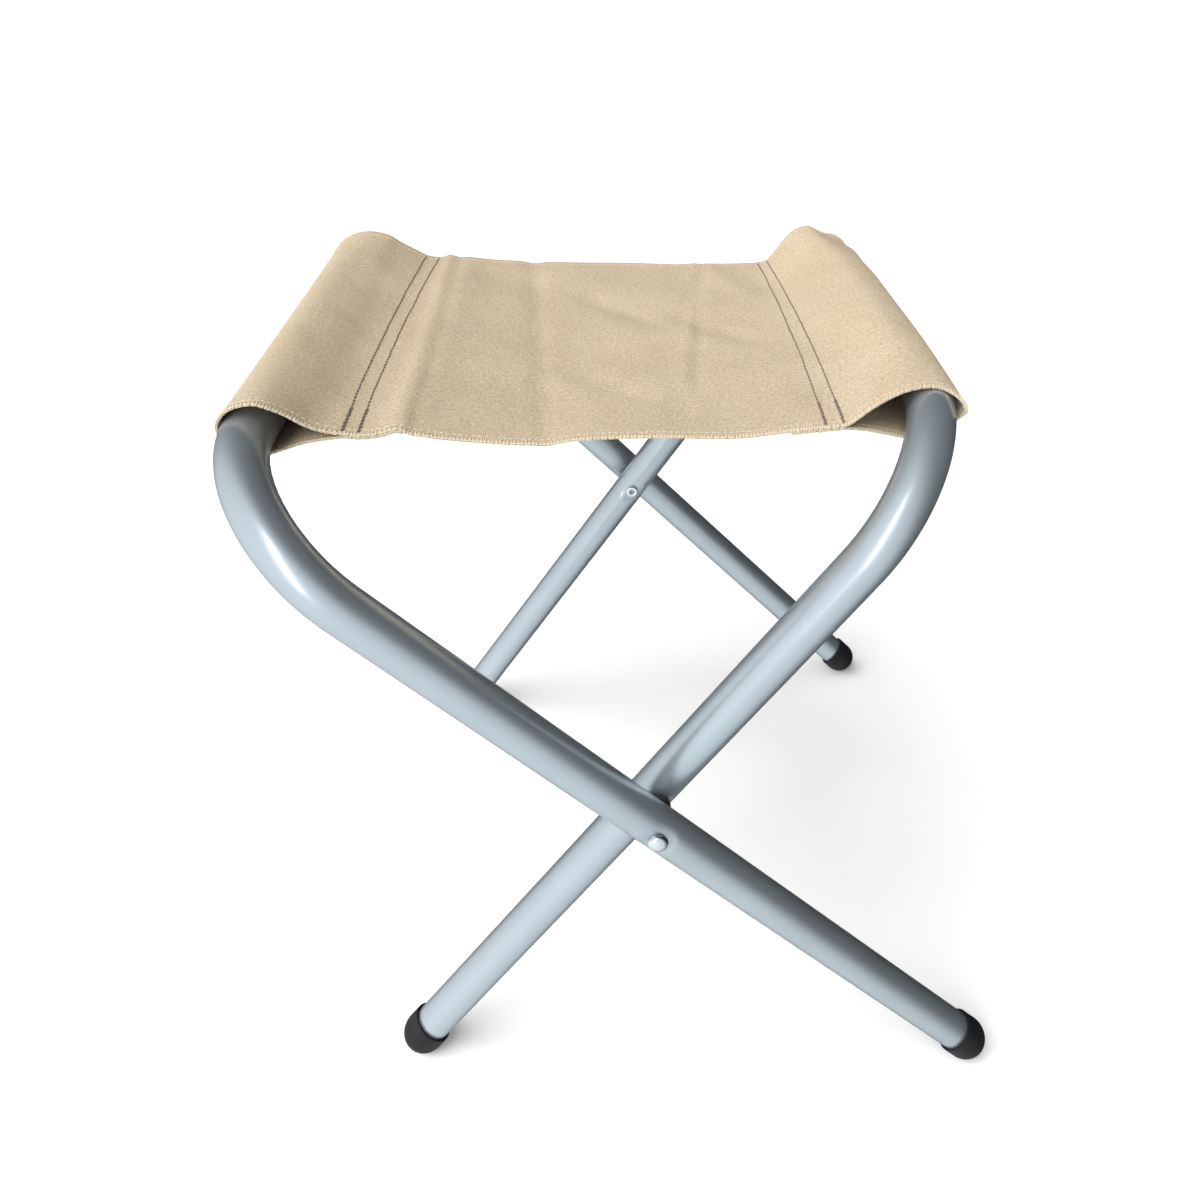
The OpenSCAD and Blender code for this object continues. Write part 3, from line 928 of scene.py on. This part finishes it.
class Sheet:
    """The canvas, and places on it for the threads."""

    def __init__(self):
        self.grid, self.marks = sheet_grid()
        # these point out of the sleeves and up from the seat
        self.normals = unit(np.cross(*(np.gradient(self.grid, axis=k) for k in (0, 1))))
        middle = self.grid.shape[1] // 2
        steps = np.linalg.norm(np.diff(self.grid[:, middle], axis=0), axis=1)
        self.along = np.concatenate([[0], np.cumsum(steps)])
        widths = np.linalg.norm(np.diff(self.grid, axis=1), axis=2).mean(0)
        self.across = np.concatenate([[0], np.cumsum(widths)])
        self.length = self.along[-1]
        self.width = self.across[-1]

    def at(self, i, j, lift=0.0):
        """A point at fractional grid place i, j, lifted along the normal."""
        i = np.clip(i, 0, self.grid.shape[0] - 1.001)
        j = np.clip(j, 0, self.grid.shape[1] - 1.001)
        a, b = int(i), int(j)
        s, t = i - a, j - b
        place, normal = 0.0, 0.0
        for da, db, w in ((0, 0, (1 - s) * (1 - t)), (1, 0, s * (1 - t)),
                          (0, 1, (1 - s) * t), (1, 1, s * t)):
            place = place + w * self.grid[a + da, b + db]
            normal = normal + w * self.normals[a + da, b + db]
        normal = normal / np.linalg.norm(normal)
        return place + lift * normal, normal

    def column(self, distance):
        """Fractional column, for a distance from the front edge."""
        return float(np.interp(distance, self.across, np.arange(len(self.across))))

    def row(self, distance):
        """Fractional row, for a distance from the left flap's free edge."""
        return float(np.interp(distance, self.along, np.arange(len(self.along))))

    def rim(self, i, front, lift=0.0):
        """A point on the front or rear edge at row i."""
        return self.at(i, 0 if front else self.grid.shape[1] - 1, lift)

    def mesh(self):
        """The sheet with its thickness, its UVs in millimetres of flat cloth."""
        nu, nv = self.grid.shape[:2]
        uvs = np.stack(np.broadcast_arrays(self.along[:, None], self.across[None]), -1)
        uvs = uvs.reshape(-1, 2)
        half = CANVAS_T / 2
        lifted = (self.grid + half * self.normals).reshape(-1, 3)
        sunk = (self.grid - half * self.normals).reshape(-1, 3)
        count = nu * nv
        faces = grid_faces(nu, nv)
        faces += [f[::-1] for f in grid_faces(nu, nv, start=count)]
        border = [i * nv for i in range(nu)] + [(nu - 1) * nv + j for j in range(1, nv)]
        border += [i * nv + nv - 1 for i in range(nu - 2, -1, -1)]
        border += list(range(nv - 2, 0, -1))
        faces += [(a, b, count + b, count + a)
                  for a, b in zip(border, border[1:] + border[:1])]
        return outward(new_object("seat_canvas", np.vstack([lifted, sunk]), faces,
                                  np.vstack([uvs, uvs])))


class Threads:
    """Collects many short lengths of thread into one mesh."""

    def __init__(self, sides=6):
        self.points, self.faces, self.sides = [], [], sides

    def add(self, path, normals, radius):
        """A length of thread along path, its ends closed, as wide as 2 x radius."""
        path, normals = np.array(path), np.array(normals)
        steps = len(path)
        tangent = unit(np.gradient(path, axis=0))
        side = unit(np.cross(tangent, normals))
        up = np.cross(side, tangent)
        turns = np.linspace(0, 2 * math.pi, self.sides, endpoint=False)
        # the ends are drawn in
        size = radius * np.sqrt(np.clip(1 - np.linspace(-1, 1, steps) ** 8, 0.12, 1))
        ring = path[:, None] + size[:, None, None] * (
            np.cos(turns)[None, :, None] * side[:, None]
            + np.sin(turns)[None, :, None] * up[:, None])
        start = sum(len(p) for p in self.points)
        self.points.append(ring.reshape(-1, 3))
        self.faces += grid_faces(steps, self.sides, closed=True, start=start)
        self.faces.append(tuple(range(start, start + self.sides))[::-1])
        last = start + (steps - 1) * self.sides
        self.faces.append(tuple(range(last, last + self.sides)))

    def object(self, name):
        return outward(new_object(name, np.vstack(self.points), self.faces))


def stitch(threads, sheet, i0, j0, i1, j1, radius, lift, dip=0.35, steps=6, shift=0.0):
    """One stitch lying on the sheet from place (i0, j0) to (i1, j1), its ends sunk by
    dip, and moved sideways by shift."""
    path, normals = [], []
    for t in np.linspace(0, 1, steps):
        arch = 1 - (2 * t - 1) ** 4
        point, normal = sheet.at(i0 + (i1 - i0) * t, j0 + (j1 - j0) * t,
                                 lift - dip * (1 - arch))
        path.append(point)
        normals.append(normal)
    path = np.array(path)
    if shift:
        side = np.cross(path[-1] - path[0], normals[0])
        path = path + shift * side / np.linalg.norm(side)
    threads.add(path, normals, radius)


def seam_row(name, sheet, mark, rng):
    """A row of lock stitches along a seam, sewn over twice at its front end."""
    threads = Threads()
    top = CANVAS_T / 2
    pitch, length, radius, lift = 3.1, 2.7, 0.36, 0.16
    edge = 1.6
    place = edge
    wander = 0.0
    while place + length < sheet.width - edge:
        wander = 0.7 * wander + rng.normal(0, 0.075)
        i = sheet.marks[mark] + wander / CELL
        j0, j1 = sheet.column(place), sheet.column(place + length)
        stitch(threads, sheet, i, j0, i + rng.normal(0, 0.02), j1, radius, top + lift)
        # the thread on the under side
        stitch(threads, sheet, i, j0, i, j1, radius * 0.9, -(top + FLAP_GAP + lift),
               dip=-0.35)
        place += pitch
    again_to, again_pitch, again_length, again_lift = 21, 2.9, 2.4, 0.24
    for shift, start in ((0.30, edge - 0.6 + 0.9), (-0.26, edge - 0.6)):
        place = start
        while place < again_to:
            i = sheet.marks[mark] + rng.normal(0, 0.05)
            stitch(threads, sheet, i, sheet.column(place), i,
                   sheet.column(place + again_length), radius, top + again_lift,
                   shift=shift)
            place += again_pitch
    return finish_cloth(threads.object(name), SEAM_THREAD)


def hem_row(name, sheet, front, rng):
    """The overlock's needle thread, along the whole edge on both faces."""
    threads = Threads()
    inset, end = 3.4, 1.0
    pitch, length, radius, lift, dip = 2.45, 2.05, 0.24, 0.05, 0.22
    column = sheet.column(inset if front else sheet.width - inset)
    for face in (1, -1):
        place = end
        while place + 2.0 < sheet.length - end:
            j = column + rng.normal(0, 0.02)
            stitch(threads, sheet, sheet.row(place), j, sheet.row(place + length), j,
                   radius, face * (CANVAS_T / 2 + lift), dip=face * dip, steps=5)
            place += pitch
    return finish_cloth(threads.object(name), EDGE_THREAD)


def overlock(name, sheet, front, rng):
    """Loops of thread bound over the raw edge, and the bead that they make along it."""
    threads = Threads(5)
    pitch, length, depth = 1.45, 0.45, 1.25
    ends = 0.8
    edge = 0.0 if front else sheet.width
    inwards = 1 if front else -1
    # the way out of the cloth is measured from here
    inner_column = sheet.column(edge + inwards * 2.0)

    def out_of_edge(rim, i, lift=0.0):
        away = rim - sheet.at(i, inner_column, lift)[0]
        return away / np.linalg.norm(away)

    place = ends
    while place < sheet.length - ends:
        inset = depth + rng.normal(0, 0.10)
        path, normals = [], []
        # from the under side, round the edge, to the upper side
        for t in np.linspace(-1, 1, 9):
            i = sheet.row(place + length * t + rng.normal(0, 0.015))
            share = min(1.0, abs(t) * 1.5 - 0.25) if abs(t) > 0.17 else 0.0
            j = sheet.column(edge + inwards * inset * share)
            turn = max(-1.0, min(1.0, t * 2.2))
            point, normal = sheet.at(i, j, turn * (CANVAS_T / 2 + 0.14))
            outwards = out_of_edge(sheet.rim(i, front)[0], i)
            bulge = math.sqrt(max(0.0, 1 - turn * turn))
            path.append(point + outwards * (0.42 * bulge))
            normals.append(normal * turn + outwards * (bulge + 0.02))
        threads.add(path, normals, 0.30)
        place += pitch
    # the looper threads that lock along the rim
    pitch, length = 3.0, 3.2
    for lift in (0.30, -0.30):
        place = 0.6
        while place < sheet.length - 3:
            path, normals = [], []
            for t in np.linspace(0, 1, 5):
                i = sheet.row(place + length * t)
                rim, _ = sheet.rim(i, front, lift)
                outwards = out_of_edge(rim, i, lift)
                path.append(rim + outwards * (0.30 + 0.10 * math.sin(9 * t + place)))
                normals.append(outwards)
            threads.add(path, normals, 0.26)
            place += pitch
    return finish_cloth(threads.object(name), EDGE_THREAD)


def finish_cloth(obj, material):
    """Gives cloth or thread its material, and bakes its placement into its points."""
    dress(obj, material)
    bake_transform(obj)
    return obj


# ---- build

camera()
studio()

tube_frame("tube_outer", "outer_frame", OUTER_WIDTH, OUTER_LEAN,
           PRESSED_DEEP, PRESSED_LIGHT, "outer")
tube_frame("tube_inner", "inner_frame", INNER_WIDTH, INNER_LEAN,
           PRESSED_LIGHT, PRESSED_DEEP, "inner")
for word, side in (("front", -1), ("rear", 1)):
    for body, lean, width in (("outer", OUTER_LEAN, OUTER_WIDTH),
                              ("inner", INNER_LEAN, INNER_WIDTH)):
        foot_cap(f"rubber_foot_{body}_{word}", f"foot_cap_{body}_{word}", lean,
                 side * width / 2, body)
    rivet(f"steel_rivet_{word}", f"pivot_rivet_{word}", side)
    spacer(f"ring_spacer_{word}", f"pivot_spacer_{word}", side)

sheet = Sheet()
seat = finish_cloth(sheet.mesh(), CANVAS)
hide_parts("sleeve_left", "seat_panel", "sleeve_right")
rng = np.random.default_rng(7)
trim = []
for word, mark in (("left_outer", SEAM_LEFT_OUTER), ("left_inner", SEAM_LEFT_INNER),
                   ("right_inner", SEAM_RIGHT_INNER), ("right_outer", SEAM_RIGHT_OUTER)):
    row = seam_row(f"seam_thread_{word}", sheet, mark, rng)
    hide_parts(f"seam_stitches_{word}")
    trim.append(row)
for word, is_front in (("front", True), ("rear", False)):
    row = hem_row(f"hem_thread_{word}", sheet, is_front, rng)
    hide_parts(f"hem_stitches_{word}")
    bead = overlock(f"overlock_thread_{word}", sheet, is_front, rng)
    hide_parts(f"edge_overlock_{word}")
    trim += [row, bead]
